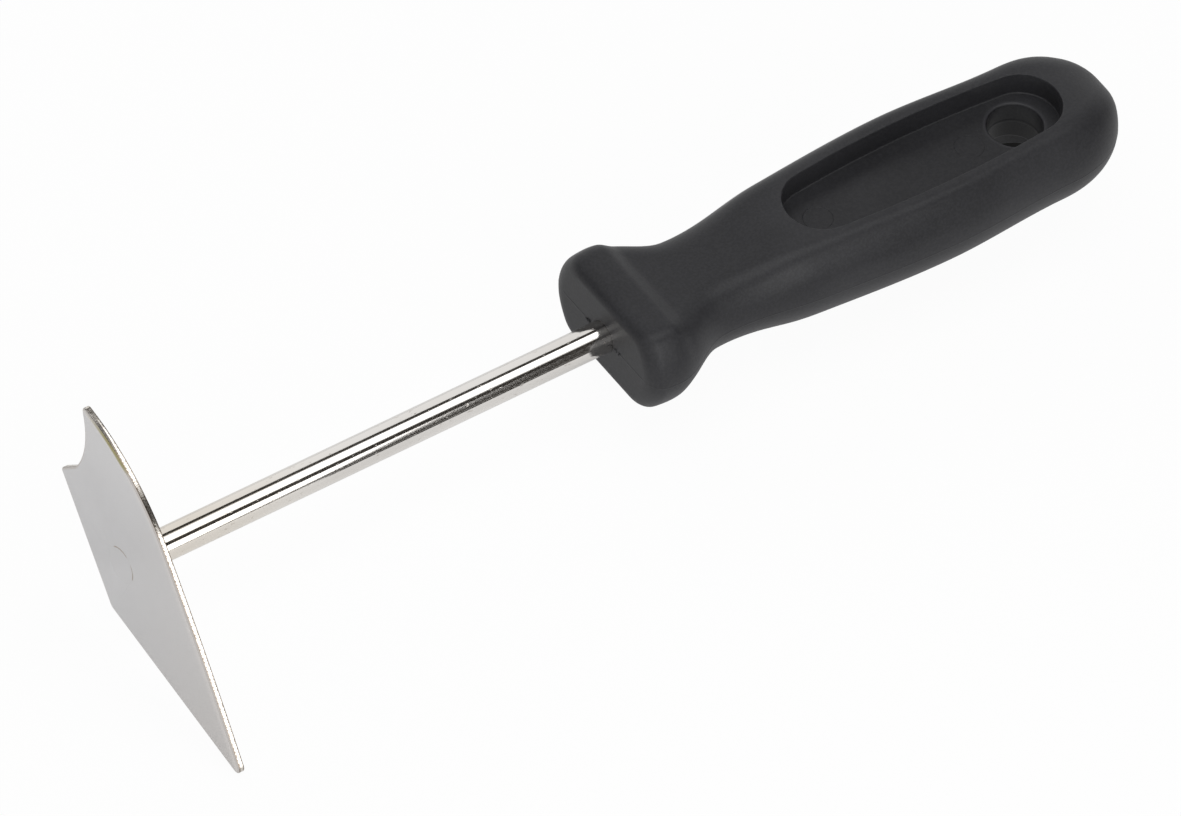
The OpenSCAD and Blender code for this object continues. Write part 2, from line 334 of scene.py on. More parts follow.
patch_butt = butt_ribs[butt_ribs < PATCH_TO - RIB_GAP]
patch_ribs = np.concatenate([[PATCH_FROM], grip_ribs, patch_butt, [PATCH_TO]])
after_patch = np.concatenate([[PATCH_TO], butt_ribs[butt_ribs > PATCH_TO + RIB_GAP]])
after_patch[-1] = BUTT_FROM + BUTT_TIP * LAST_RIB


def stand(u, section):
    """Points (y, z) of a section, put at distance u along the handle."""
    return np.column_stack([np.full(len(section), HANDLE_X + u), section])


def rib(u):
    """The upper half of the section at u: right flank, flat top, left flank."""
    q = quarter(u)
    across = np.linspace(q[-1, 0], -q[-1, 0], TOP_STEPS + 1)[1:-1]
    top = np.stack([across, np.full(len(across), q[-1, 1])], 1)
    left = q[::-1] * (-1, 1)
    return stand(u, np.concatenate([q, top, left]))


handle = Patches()
handle.grid([rib(u) for u in before_patch])
butt_rows = [rib(u) for u in after_patch]
butt_rows.append(butt_rows[-1] * 0 + (HANDLE_X + BUTT_FROM + BUTT_TIP, 0, 0))
handle.grid(butt_rows)
for side in (1, -1):
    handle.grid([stand(u, quarter(u) * (side, 1)) for u in patch_ribs])
print("ribs:", len(before_patch) + len(patch_ribs) + len(after_patch))

# %% Lip, wall and floor of the recess
WEB = 4.5
LIP_R, DRAFT, FLOOR_R = 0.24, 0.05, 0.28
LAND_SHARES, WALL_SHARES = (0.2, 0.45, 0.72, 0.9, 1.0), (0.33, 0.66, 1.0)
TURNS = [math.radians(turned) for turned in np.linspace(0, 90, 7)[1:]]
upper = [(u, quarter(u)[-1, 0]) for u in patch_ribs]
across_from = np.linspace(upper[0][1], -upper[0][1], TOP_STEPS + 1)[1:-1]
across_to = np.linspace(upper[-1][1], -upper[-1][1], TOP_STEPS + 1)[1:-1]
edge = upper + [(PATCH_TO, y) for y in across_to] + [(u, -y) for u, y in reversed(upper)]
edge += [(PATCH_FROM, y) for y in across_from[::-1]]


def level(loop, drop=0.0):
    """A loop at the height of the flat top, or drop below it."""
    return [(HANDLE_X + x, y, float(top_z(x)) - drop) for x, y in loop]


rim = [on_ray(x, y, LIP_R) for x, y in edge]
loops = [level(edge)]
for share in LAND_SHARES:
    on_land = [(x + (rx - x) * share, y + (ry - y) * share) for (x, y), (rx, ry) in zip(edge, rim)]
    loops.append(level(on_land))
for turned in TURNS:
    away, drop = LIP_R * (1 - math.sin(turned)), LIP_R * (1 - math.cos(turned))
    loops.append(level([on_ray(x, y, away) for x, y in edge], drop))
wall_top = [p[2] for p in loops[-1]]
for share in WALL_SHARES:
    spots = [on_ray(x, y, -DRAFT * share) for x, y in edge]
    loops.append([
        (HANDLE_X + x, y, z + (WEB + FLOOR_R - z) * share) for (x, y), z in zip(spots, wall_top)
    ])
for turned in TURNS:
    away = -DRAFT - FLOOR_R * (1 - math.cos(turned))
    z = WEB + FLOOR_R * (1 - math.sin(turned))
    floor_edge = [on_ray(x, y, away) for x, y in edge]
    loops.append([(HANDLE_X + x, y, z) for x, y in floor_edge])
handle.grid(loops, closed=True)
print("loops round the recess:", len(loops), "of", len(edge), "points")

# %% [markdown]
# ## Hanging hole and ejector marks
# A round hole goes through the web under the recess, with rounded mouths and, half way down, the
# step where the two mould cores met. The pins that push the moulding out leave two faint round
# dents in the floor. All of these are circles in one flat face, so they're outlines of the same
# triangulation.

# %% Hole, marks and floor
HOLE_AT, HOLE_R, MOUTH_R, HOLE_SIDES = 93.8, 5.3, 0.5, 96
# how much narrower than its mouth the bore is, and at which height: a draft, and then the step
BORE_ROWS = [(0.02, 2.2), (0.04, 0.42), (0.05, 0.34), (0.08, 0.28), (0.09, 0)]
PIN_MARKS, MARK_SIDES = [(83.3, 0.0), (48.6, 0.0)], 56
MARK_R = (2.83, 2.865, 2.9, 2.935, 2.97)
MARK_DENT = (0.025, 0.06, 0.085, 0.055, 0.0)
# a circle of flat sides lies a little inside the true one, and loops are joined a little loosely
CHORD, SLACK = 0.999, 0.02


def circle(cx, cy, r, n):
    turns = [2 * math.pi * i / n for i in range(n)]
    return [(cx + r * math.cos(a), cy + r * math.sin(a)) for a in turns]


def floor_place(x, y):
    """The spot on the recess's floor, dented where a pin pushed."""
    dent = 0.0
    for mx, my in PIN_MARKS:
        away = math.hypot(x - mx, y - my)
        dent = float(np.interp(away, MARK_R, MARK_DENT)) if away < MARK_R[-1] else dent
    return HANDLE_X + x, y, WEB - dent


def in_floor(p):
    in_recess = slot_distance(p.x, p.y) < -DRAFT - FLOOR_R + SLACK
    return in_recess and math.hypot(p.x - HOLE_AT, p.y) > (HOLE_R + MOUTH_R) * CHORD


marks = [circle(mx, my, r, MARK_SIDES) for mx, my in PIN_MARKS for r in MARK_R]
mouth = circle(HOLE_AT, 0, HOLE_R + MOUTH_R, HOLE_SIDES)
handle.flat([floor_edge, mouth] + marks, floor_place, in_floor)
bore = [
    (HOLE_R + MOUTH_R * (1 - math.sin(a)), WEB - MOUTH_R * (1 - math.cos(a)))
    for a in np.linspace(0, math.pi / 2, 8)
]
bore += [(HOLE_R - narrower, z) for narrower, z in BORE_ROWS]
handle.grid(
    [[(HANDLE_X + x, y, z) for x, y in circle(HOLE_AT, 0, r, HOLE_SIDES)] for r, z in bore],
    closed=True,
)
print("hanging hole", 2 * HOLE_R, "mm wide, mouth", 2 * (HOLE_R + MOUTH_R), "mm")

# %% [markdown]
# ## The collar's front face and the tang's socket
# The flat front face runs from the first rib to the shaft. Behind it the plastic fits round the
# tang: a round bar with one stretch that was pressed flat and wide, so that the handle can't turn
# or slide. The same ring of points describes round and flat stretches, so one grid makes the
# whole socket.

# %% Front face and socket
SHAFT_R = 3.25
TANG_LEN, WING_FROM, WING_LEN, WING_W, WING_T = 38.0, 22.0, 9.0, 8.6, 3.8
MOULD_GAP, BEAD_DEPTH = 0.02, 0.05
FACE_SHARES = (0, 0.06, 0.3, 0.6, 0.85, 0.97, 1)
WING_TO = WING_FROM + WING_LEN
first = rib(0.0)
angles = [math.atan2(p[2], p[1]) for p in first]


def socket_ring(x, pressed):
    """One ring of the socket at x: a circle, or the rectangle of the pressed stretch."""
    half_w, half_t = WING_W / 2 + MOULD_GAP, WING_T / 2 + MOULD_GAP
    ring = []
    for a in angles:
        c, s = math.cos(a), math.sin(a)
        r = SHAFT_R + MOULD_GAP
        if pressed:
            r = min(half_w / max(abs(c), 1e-9), half_t / max(abs(s), 1e-9))
        ring.append((HANDLE_X + x, r * c, r * s))
    return ring


hole_ring = np.array(socket_ring(0.0, False))
face_rows = [first + (hole_ring - first) * t for t in FACE_SHARES]
for row in face_rows[1:]:
    row[:, 0] -= BEAD_H * np.exp(-((row[:, 2] / BEAD_W) ** 2))
handle.grid(face_rows)
socket = [[tuple(p) for p in face_rows[-1]]]
for x, pressed in (
    (BEAD_DEPTH, False),
    (WING_FROM - MOULD_GAP, False),
    (WING_FROM - MOULD_GAP, True),
    (WING_TO + MOULD_GAP, True),
    (WING_TO + MOULD_GAP, False),
    (TANG_LEN + MOULD_GAP, False),
):
    socket.append(socket_ring(x, pressed))
socket.append([(HANDLE_X + TANG_LEN + MOULD_GAP, 0, 0)] * len(angles))
handle.grid(socket)
grip = handle.build("handle_moulding", mirror=2, weigh=True)

# %% [markdown]
# ## The blade
# A press shears the blade out of flat plate. Its outline has a long tip, a heel, a beak and a
# peak, with a hollow edge between the last two and slightly rounded edges along the back. The
# outline is made of arcs and rounded corners, and then carried through the plate's thickness with
# a small edge rounding on both faces.

# %% Arcs and rounded corners
def on_circle(middle, r, a):
    return middle + r * np.array([math.cos(a), math.sin(a)])


def arc(p, q, r, step=0.35):
    """Points of an arc from p to q, bulging to the left of the way for a positive radius."""
    p, q = np.array(p, float), np.array(q, float)
    d = q - p
    half, side = np.linalg.norm(d) / 2, 1 if r > 0 else -1
    n = np.array([d[1], -d[0]]) / (2 * half)
    c = (p + q) / 2 + n * side * math.sqrt(r * r - half * half)
    a0, sweep = math.atan2(*(p - c)[::-1]), -side * 2 * math.asin(half / abs(r))
    steps = max(4, math.ceil(2 * half / step))
    return [on_circle(c, abs(r), a0 + sweep * i / steps) for i in range(steps + 1)]


def corner(a, c, b, r, steps=10):
    """Points that round the corner c between the ways to a and b, and how far back they start."""
    a, c, b = (np.array(p, float) for p in (a, c, b))
    ua, ub = (a - c) / np.linalg.norm(a - c), (b - c) / np.linalg.norm(b - c)
    half = math.acos(ua @ ub) / 2
    m = c + (ua + ub) / np.linalg.norm(ua + ub) * r / math.sin(half)
    start = c + ua * r / math.tan(half) - m
    a0 = math.atan2(start[1], start[0])
    swing = (-1 if ua[0] * ub[1] - ua[1] * ub[0] > 0 else 1) * (math.pi - 2 * half)
    pts = [on_circle(m, r, a0 + swing * i / steps) for i in range(steps + 1)]
    return pts, r / math.tan(half)


# %% The blade's outline
TOO_CLOSE = 0.02


def clear_of(pts, c, d):
    """The points that are not within d of the corner c."""
    return [p for p in pts if np.linalg.norm(p - np.array(c)) > d + TOO_CLOSE]


near, heel, beak, land = (-41.88, -20.285), (2, -13.5), (20.6, 7.4), (16.2, 11.8)
peak, shoulder = (16.3, 29.38), (-12.7, 14.6)
HOLLOW_R, CROWN_R, BACK_R = 19, 43, 450
NEAR_ROUND, HEEL_ROUND, BEAK_ROUND, PEAK_ROUND = 1.2, 2, 0.7, 1
hollow, crown = arc(land, peak, HOLLOW_R), arc(peak, shoulder, -CROWN_R)
back = arc(shoulder, near, -BACK_R)
near_pts, near_back = corner(back[-2], near, heel, NEAR_ROUND)
heel_pts, _ = corner(near, heel, beak, HEEL_ROUND)
beak_pts, _ = corner(heel, beak, land, BEAK_ROUND)
peak_pts, peak_back = corner(hollow[-2], peak, crown[1], PEAK_ROUND)
outline = near_pts + heel_pts + beak_pts + clear_of(hollow, peak, peak_back) + peak_pts
outline += clear_of(crown, peak, peak_back) + clear_of(back[1:-1], near, near_back)
outline = np.array(
    [p for i, p in enumerate(outline) if np.linalg.norm(p - outline[i - 1]) > TOO_CLOSE]
)
print("outline:", len(outline), "points, box", outline.min(0).round(2), outline.max(0).round(2))

# %% The blade's plate
STAKE_R, SPIGOT_R, STAKE_GAP = 3.8, 2.5, 0.01
EDGE_R = 0.13
# the edge that the press drew down, at the front: how far in, and how deep
ROLL = [
    (0.6, 0), (0.42, 0.015), (0.27, 0.045), (0.15, 0.095), (0.06, 0.17), (0.015, 0.25), (0, 0.34),
]
SHEAR_SHARES = (0.02, 0.25, 0.5, 0.75)
roll_depth = ROLL[-1][1]
ahead, behind = np.roll(outline, -1, 0), np.roll(outline, 1, 0)
along = ahead - behind
along /= np.linalg.norm(along, axis=1)[:, None]
turned_in = np.stack([-along[:, 1], along[:, 0]], 1)
area = 0.5 * np.sum(outline[:, 0] * ahead[:, 1] - ahead[:, 0] * outline[:, 1])
turned_in *= 1 if area > 0 else -1


def plate_loop(inset, x):
    return [(x, p[0], p[1]) for p in outline + turned_in * inset]


blade_rows = [plate_loop(inset, x) for inset, x in ROLL]
for share in SHEAR_SHARES:
    blade_rows.append(plate_loop(0, roll_depth + (PLATE_T - EDGE_R - roll_depth) * share))
for a in np.linspace(math.pi / 2, 0, 5):
    blade_rows.append(plate_loop(EDGE_R * (1 - math.sin(a)), PLATE_T - EDGE_R * (1 - math.cos(a))))
plate = Patches()
plate.grid(blade_rows, closed=True)
inner = {0.0: outline + turned_in * ROLL[0][0], PLATE_T: outline + turned_in * EDGE_R}


def inside(loop, x, y):
    """Whether a spot is inside a loop, by counting the edges that it crosses."""
    a, b = loop, np.roll(loop, -1, 0)
    hit = (a[:, 1] > y) != (b[:, 1] > y)
    with np.errstate(divide="ignore", invalid="ignore"):
        at = a[:, 0] + (y - a[:, 1]) * (b[:, 0] - a[:, 0]) / (b[:, 1] - a[:, 1])
    return bool(np.count_nonzero(hit & (x < at)) % 2)


countersink = ((0.0, STAKE_R + STAKE_GAP), (PLATE_T, SPIGOT_R + STAKE_GAP))
for x, r in countersink:
    plate.flat(
        [inner[x], circle(0, 0, r, HOLE_SIDES)],
        lambda y, z, x=x: (x, y, z),
        lambda p, x=x, r=r: inside(inner[x], p.x, p.y) and math.hypot(p.x, p.y) > r * CHORD,
    )
plate.grid(
    [[(x, y, z) for y, z in circle(0, 0, r, HOLE_SIDES)] for x, r in countersink], closed=True
)
blade = plate.build("blade_plate", weigh=True)

# %% [markdown]
# ## How far along the edge
# The sheared edge shows fine upright marks that follow the outline round every corner. A pattern
# in plain coordinates would smear there, so each point of the edge keeps how far along the
# outline it is, in a UV map of its own. The second coordinate says how far through the plate the
# point lies, and is -1 on the two flat faces.

# %% Edge map of the blade
run = np.concatenate([[0], np.cumsum(np.linalg.norm(np.diff(outline, axis=0), axis=1))])
edge_map = blade.data.uv_layers.new(name="edge_map")
co = np.zeros(len(blade.data.vertices) * 3)
blade.data.vertices.foreach_get("co", co)
co = co.reshape(-1, 3) / MM
near_point = np.array([int(np.argmin(((outline - c[1:]) ** 2).sum(1))) for c in co])
for face in blade.data.polygons:
    flat_face = abs(face.normal.x) > 0.99
    picks = [near_point[v] for v in face.vertices]
    wraps = max(picks) - min(picks) > len(outline) // 2
    for corner_at, v, pick in zip(face.loop_indices, face.vertices, picks):
        length = run[pick] + (run[-1] if wraps and pick < len(outline) // 2 else 0)
        edge_map.data[corner_at].uv = (length * MM, -1.0 if flat_face else co[v][0] / PLATE_T)
print("edge length:", round(float(run[-1]), 1), "mm")

# %% [markdown]
# ## The shaft
# Each stretch of the shaft is turned: a cone that fills the blade's countersink, the long bar,
# and the end of the tang. One node tree makes a turned bar from its two ends and its radii, so it
# is used three times with other numbers. Only the stretch that was pressed flat is a block of its
# own.

# %% Trees with named inputs
def tree_with(name, inputs):
    """A node tree with these inputs (name, kind, start value) and its two end nodes."""
    tree = bpy.data.node_groups.new(name, "GeometryNodeTree")
    for label, kind, start in inputs:
        made = tree.interface.new_socket(label, in_out="INPUT", socket_type="NodeSocket" + kind)
        if start is not None:
            made.default_value = start
    tree.interface.new_socket("Geometry", in_out="OUTPUT", socket_type="NodeSocketGeometry")
    return tree, tree.nodes.new("NodeGroupInput"), tree.nodes.new("NodeGroupOutput")


def send_out(tree, shape, given, result):
    """Makes plain geometry of a shape, gives it the tree's material and sends it out."""
    plain = tree.nodes.new("GeometryNodeRealizeInstances")
    paint = tree.nodes.new("GeometryNodeSetMaterial")
    tree.links.new(shape, plain.inputs[0])
    tree.links.new(plain.outputs[0], paint.inputs["Geometry"])
    tree.links.new(given.outputs["Material"], paint.inputs["Material"])
    tree.links.new(paint.outputs[0], result.inputs[0])


# %% Node tree for a turned bar
def bar_tree():
    tree, given, result = tree_with("turned_bar", [
        ("From", "Float", 0.0), ("To", "Float", 0.01), ("First radius", "Float", 0.003),
        ("Last radius", "Float", 0.003), ("Chamfer", "Float", 0.0001), ("Sides", "Int", 96),
        ("Material", "Material", None),
    ])
    add, link = tree.nodes.new, tree.links.new

    def maths(kind, a, b):
        node = add("ShaderNodeMath")
        node.operation = kind
        for socket, value in zip(node.inputs, (a, b)):
            if isinstance(value, (int, float)):
                socket.default_value = value
            else:
                link(value, socket)
        return node.outputs[0]

    def at(x):
        node = add("ShaderNodeCombineXYZ")
        link(x, node.inputs[0])
        return node.outputs[0]

    start, stop = given.outputs["From"], given.outputs["To"]
    chamfer = given.outputs["Chamfer"]
    line = add("GeometryNodeCurvePrimitiveLine")
    link(at(start), line.inputs["Start"])
    link(at(stop), line.inputs["End"])
    points = add("GeometryNodeResampleCurve")
    link(line.outputs[0], points.inputs["Curve"])
    points.inputs["Count"].default_value = 4
    # the four points go to the two ends and to one chamfer's length inside them
    half_way = 1.5
    index = add("GeometryNodeInputIndex").outputs[0]
    is_first_pair = maths("LESS_THAN", index, half_way)
    is_end = maths("GREATER_THAN", maths("ABSOLUTE", maths("SUBTRACT", index, half_way), 0), 1.0)
    back_off = maths("MULTIPLY", maths("SUBTRACT", 1, is_end), chamfer)

    def by_pair(low, high):
        """low for the first two points and high for the last two."""
        at_low = maths("MULTIPLY", low, is_first_pair)
        return maths("ADD", at_low, maths("MULTIPLY", high, maths("SUBTRACT", 1, is_first_pair)))

    x = by_pair(maths("ADD", start, back_off), maths("SUBTRACT", stop, back_off))
    move = add("GeometryNodeSetPosition")
    link(points.outputs[0], move.inputs["Geometry"])
    link(at(x), move.inputs["Position"])
    radius = by_pair(given.outputs["First radius"], given.outputs["Last radius"])
    radius = maths("SUBTRACT", radius, maths("MULTIPLY", is_end, chamfer))
    ring = add("GeometryNodeCurvePrimitiveCircle")
    link(given.outputs["Sides"], ring.inputs["Resolution"])
    ring.inputs["Radius"].default_value = 1.0
    sweep = add("GeometryNodeCurveToMesh")
    link(move.outputs[0], sweep.inputs["Curve"])
    link(ring.outputs[0], sweep.inputs["Profile Curve"])
    link(radius, sweep.inputs["Scale"])
    sweep.inputs["Fill Caps"].default_value = True
    send_out(tree, sweep.outputs[0], given, result)
    return tree


turned_bar = bar_tree()
input_names = [s.name for s in turned_bar.interface.items_tree if s.in_out == "INPUT"]
print("turned bar inputs:", input_names)


# %% Plain mesh from a node tree
def grown(name, tree, values, start=None):
    """Runs a node tree on a start mesh and returns its result as an object with a plain mesh."""
    holder = bpy.data.objects.new(name + "_seed", start or bpy.data.meshes.new(name + "_seed"))
    bpy.context.scene.collection.objects.link(holder)
    modifier = holder.modifiers.new("grow", "NODES")
    modifier.node_group = tree
    sockets = {s.name: s.identifier for s in tree.interface.items_tree if s.in_out == "INPUT"}
    for key, value in values.items():
        modifier[sockets[key]] = value
    ready = holder.evaluated_get(bpy.context.evaluated_depsgraph_get())
    mesh = bpy.data.meshes.new_from_object(ready)
    holder.modifiers.remove(modifier)
    bpy.data.objects.remove(holder)
    mesh.name = name
    piece = bpy.data.objects.new(name, mesh)
    bpy.context.scene.collection.objects.link(piece)
    return piece


# %% [markdown]
# ## Writing materials as sums
# A shader is a sum of masks and colours, and reads best when it is written that way. The small
# class below wraps a node's socket, so that 1 - mask or mask * 0.2 adds the Math node for it.
# Colours go through Mix nodes, because a Math node would turn them grey.

# %% Sockets that can be added and multiplied
class Wire:
    """A node's output that can be used in sums."""

    def __init__(self, nodes, socket):
        self.nodes, self.socket = nodes, socket

    def __add__(self, other):
        return self.nodes.maths("ADD", self, other)

    __radd__ = __add__

    def __mul__(self, other):
        return self.nodes.maths("MULTIPLY", self, other)

    __rmul__ = __mul__

    def __sub__(self, other):
        return self.nodes.maths("SUBTRACT", self, other)

    def __rsub__(self, other):
        return self.nodes.maths("SUBTRACT", other, self)

    def over(self, low, high):
        """0 below low, 1 above high and smooth between, or turned round where low is larger."""
        smooth = {"interpolation_type": "SMOOTHSTEP"}
        return self.nodes.node("ShaderNodeMapRange", smooth, self, low, high, 0.0, 1.0)


# %% One method for every other node
class Nodes:
    """Writes nodes into a node tree."""

    def __init__(self, tree):
        self.tree = tree

    def node(self, kind, settings, *values, out=0):
        """Adds a node of a kind, with its settings and the values or wires of its sockets.

        out is the number of the output that is wanted, or None for all of them by name.
        """
        made = self.tree.nodes.new(kind)
        for key, value in settings.items():
            setattr(made, key, value)
        for socket, value in zip([s for s in made.inputs if s.enabled], values):
            self.feed(socket, value)
        outputs = [s for s in made.outputs if s.enabled]
        return {s.name: Wire(self, s) for s in outputs} if out is None else Wire(self, outputs[out])

    def feed(self, socket, value):
        """Links a wire to a socket or writes a value on it. None leaves it as it is."""
        if isinstance(value, Wire):
            self.tree.links.new(value.socket, socket)
        elif value is not None:
            if isinstance(value, tuple) and len(value) == 3 and socket.type == "RGBA":
                value = (*value, 1.0)
            socket.default_value = value

    def maths(self, kind, *values):
        return self.node("ShaderNodeMath", {"operation": kind}, *values)

    def distance(self, a, b):
        """How far a spot is from the place that a and b are measured from."""
        return self.maths("SQRT", a * a + b * b)

    def parts(self, vector):
        return list(self.node("ShaderNodeSeparateXYZ", {}, vector, out=None).values())

    def mix(self, mask, first, second):
        return self.node("ShaderNodeMix", {"data_type": "RGBA"}, mask, first, second)


# %% A material and its patterns
class Paint(Nodes):
    """A new material, with its one shader."""

    def __init__(self, name):
        self.material = bpy.data.materials.new(name)
        self.material.use_nodes = True
        super().__init__(self.material.node_tree)
        self.shader = self.tree.nodes["Principled BSDF"]

    def set(self, **values):
        for key, value in values.items():
            label = key.replace("_", " ").title().replace("Ior", "IOR")
            self.feed(self.shader.inputs[label], value)

    def here(self, scale=(1, 1, 1)):
        """Object coordinates, stretched by a Mapping node."""
        spot = self.node("ShaderNodeTexCoord", {}, out=None)["Object"]
        return self.node("ShaderNodeMapping", {}, spot, (0, 0, 0), (0, 0, 0), scale)

    def noise(self, vector, scale, detail=2.0, rough=0.5):
        return self.node("ShaderNodeTexNoise", {}, vector, scale, detail, rough)

    def bump(self, height, distance):
        return self.node("ShaderNodeBump", {}, 1.0, distance, None, height)


# %% [markdown]
# ## Moulded black plastic
# The handle is charcoal black and matte, with the fine even grain of an eroded mould, a few pale
# specks of dust, and slight patches that are smoother from handling, most of all on the flanks
# that fingers rub. The hanging hole gets a painted highlight round its top mouth and painted shade
# in its depth. Grain as real geometry would take millions of points, so it is a bump from fine
# noise, and the patches only change the roughness.

# %% Colours of the plastic
CHARCOAL, PALE_CHARCOAL = (0.0205, 0.0205, 0.0228), (0.0325, 0.0325, 0.0355)
# the hole's two colours are a painted highlight for its mouth and a painted shade for its depth
DUST_GREY, MOUTH_HIGHLIGHT_GREY, BORE_SHADE_BLACK = (0.10, 0.10, 0.10), (0.040, 0.040, 0.044), (0.006, 0.006, 0.0065)


def hole_highlight_and_shade(p, colour, x, y, z):
    """Paints a highlight round the hanging hole's top mouth and shade in its lower half."""
    from_axis = p.distance(x - (HANDLE_X + HOLE_AT) * MM, y)

    def within(outer, inner):
        """Two radii for over, given as distances outside the bore's wall in mm."""
        return (HOLE_R + outer) * MM, (HOLE_R + inner) * MM

    lower_mouth = z.over(0.5 * MM, -0.5 * MM) * (1.2 * MM)
    in_bore = (from_axis - lower_mouth).over(*within(0.4, 0.05))
    mouth_highlight = from_axis.over(*within(0.1, 0.3)) * from_axis.over(*within(0.95, 0.6))
    mouth_highlight = mouth_highlight * z.over(3.0 * MM, 4.2 * MM)
    bore_shade = in_bore * z.over(2.5 * MM, -2.5 * MM)
    # a painted highlight on the top mouth's rounding, then painted shade low in the bore
    colour = p.mix(mouth_highlight * 0.8, colour, MOUTH_HIGHLIGHT_GREY)
    return p.mix(bore_shade * 0.6, colour, BORE_SHADE_BLACK)


# %% Plastic of the handle
GRAIN_DEPTH = 0.024 * MM


def plastic_paint():
    p = Paint("handle_plastic")
    spot = p.here()
    x, y, z = p.parts(spot)
    grain = p.noise(spot, 2300.0, 3.0, 0.65)
    speckle = p.noise(spot, 1900.0, 2.0, 0.6).over(0.36, 0.66)
    cloud = p.noise(spot, 55.0, 3.0, 0.55)
    scuff = p.noise(p.here((0.5, 1.6, 1.6)), 420.0, 4.0, 0.65).over(0.62, 0.78)
    dust = p.noise(spot, 1500.0, 1.0, 0.4).over(0.80, 0.84)
    colour = p.mix(cloud.over(0.35, 0.7) * 0.5 + speckle * 0.5, CHARCOAL, PALE_CHARCOAL)
    colour = p.mix(dust * 0.35, colour, DUST_GREY)
    # the upper flanks beside the recess, where fingers have rubbed the plastic smoother
    rubbed = x.over(0.133, 0.152) * x.over(0.186, 0.166)
    rubbed = rubbed * z.over(0.0084, 0.0070) * z.over(0.0015, 0.0040)
    p.set(
        base_color=hole_highlight_and_shade(p, colour, x, y, z),
        roughness=0.42 + 0.07 * cloud - 0.05 * scuff - 0.13 * rubbed,
        normal=p.bump(grain, GRAIN_DEPTH),
        specular_ior_level=0.27,
    )
    return p.material


handle_plastic = plastic_paint()
print("made", handle_plastic.name)


# %% [markdown]
# ## Bright nickel on the shaft
# The bar is drawn, polished and plated, so it mirrors the studio in long stripes. Its nickel is
# faintly warm, and creamier towards the blade. Fine lines along the bar from drawing it blur each
# stripe a little, and tiny pits under the plating break the stripes up.

# %% Nickel of the shaft
CREAM, PALE_CREAM = (0.71, 0.660, 0.590), (0.76, 0.715, 0.650)
SILVER, PALE_SILVER, PIT_BROWN = (0.70, 0.675, 0.645), (0.75, 0.728, 0.700), (0.30, 0.25, 0.20)
DRAWN_DEPTH = 0.006 * MM


def shaft_paint():
    p = Paint("shaft_nickel")
    drawn = p.noise(p.here((0.02, 1, 1)), 1900.0, 2.0, 0.5)
    pits = p.noise(p.here((0.55, 1, 1)), 1500.0, 2.0, 0.6).over(0.66, 0.72)
    cloud = p.noise(p.here((0.3, 1, 1)), 130.0, 2.0, 0.5)
    pale = cloud.over(0.3, 0.7)
    near_blade = p.parts(p.here())[0].over(0.055, 0.010)
    colour = p.mix(near_blade, p.mix(pale, SILVER, PALE_SILVER), p.mix(pale, CREAM, PALE_CREAM))
    p.set(
        base_color=p.mix(pits * 0.45, colour, PIT_BROWN),
        metallic=1.0,
        roughness=0.07 + 0.05 * cloud + 0.2 * pits,
        normal=p.bump(drawn * 0.3 + (1 - pits), DRAWN_DEPTH),
    )
    return p.material


shaft_nickel = shaft_paint()
print("made", shaft_nickel.name)


# %% [markdown]
# ## Satin nickel on the blade
# The plate is plated too, but over a ground surface that isn't polished, so it looks an even
# silver grey with slight cloudiness and a few tiny marks. Along the back and the crown, where the
# press drew its edge down, a band is painted brighter: a painted reflection of that slope. The
# sheared edge is bright too, with fine upright marks and two dark lines, and near the peak the
# front line widens into a painted dark reflection. Round the staked end of the shaft the plating
# has stained brown in places. Each of these is a mask of its own, made in a small function, and
# the colours are then laid over each other in turn.

# %% Masks for the blade
SATIN_DEPTH = 0.008 * MM
# how far into the face the painted reflection of the drawn-down edge reaches, and where it is full
ROLL_TO, ROLL_FULL = 1.9 * MM, 0.4 * MM


def inside_back(y, z):
    """How far in a spot lies from the long back edge, which is nearly straight."""
    way = np.array(near) - shoulder
    inwards = np.array([-way[1], way[0]]) / np.linalg.norm(way)
    return (y - shoulder[0] * MM) * float(inwards[0]) + (z - shoulder[1] * MM) * float(inwards[1])


def inside_crown(p, y, z):
    """How far in a spot lies from the crown, which is an arc."""
    chord = np.array(shoulder) - peak
    half = np.linalg.norm(chord) / 2
    sideways = np.array([-chord[1], chord[0]]) / (2 * half)
    middle = (np.array(peak) + shoulder) / 2 + sideways * math.sqrt(CROWN_R**2 - half**2)
    return CROWN_R * MM - p.distance(y - float(middle[0]) * MM, z - float(middle[1]) * MM)


def stake_stain(p, spot, y, z):
    """The broken ring of stain round the staked end: an arc above, and one at the side."""
    turn = p.maths("ARCTAN2", z, y)
    ring = p.maths("ABSOLUTE", p.distance(y, z) - STAKE_R * MM).over(0.20 * MM, 0.04 * MM)
    upper_arc = turn.over(0.72, 0.95) * turn.over(2.05, 1.85)
    side_arc = turn.over(2.25, 2.5) + turn.over(-2.9, -3.05)
    patchy = p.noise(spot, 900.0, 2.0, 0.6).over(0.42, 0.56)
    return ring * (upper_arc + side_arc) * (0.45 + 0.55 * patchy)


# %% Nickel of the blade
COOL, PALE_COOL = (0.612, 0.606, 0.610), (0.650, 0.643, 0.647)
WARM, PALE_WARM = (0.618, 0.594, 0.576), (0.646, 0.622, 0.606)
BROAD_BRIGHT, TOP_BRIGHT = (0.690, 0.683, 0.685), (0.74, 0.73, 0.73)
# the colour of a painted reflection along the drawn-down edge
ROLL_PAINTED_SHEEN = (0.730, 0.700, 0.678)
MARK_BROWN, STAIN_BROWN, OLIVE = (0.50, 0.42, 0.36), (0.30, 0.20, 0.13), (0.36, 0.32, 0.13)
EDGE_STEEL, SHEARED_STEEL = (0.60, 0.570, 0.545), (0.70, 0.665, 0.61)
# the last of these is the grey of a painted dark reflection near the peak
TICK_DARK, LINE_BROWN, PEAK_REFLECTION_GREY = (0.13, 0.10, 0.075), (0.14, 0.10, 0.07), (0.05, 0.047, 0.045)


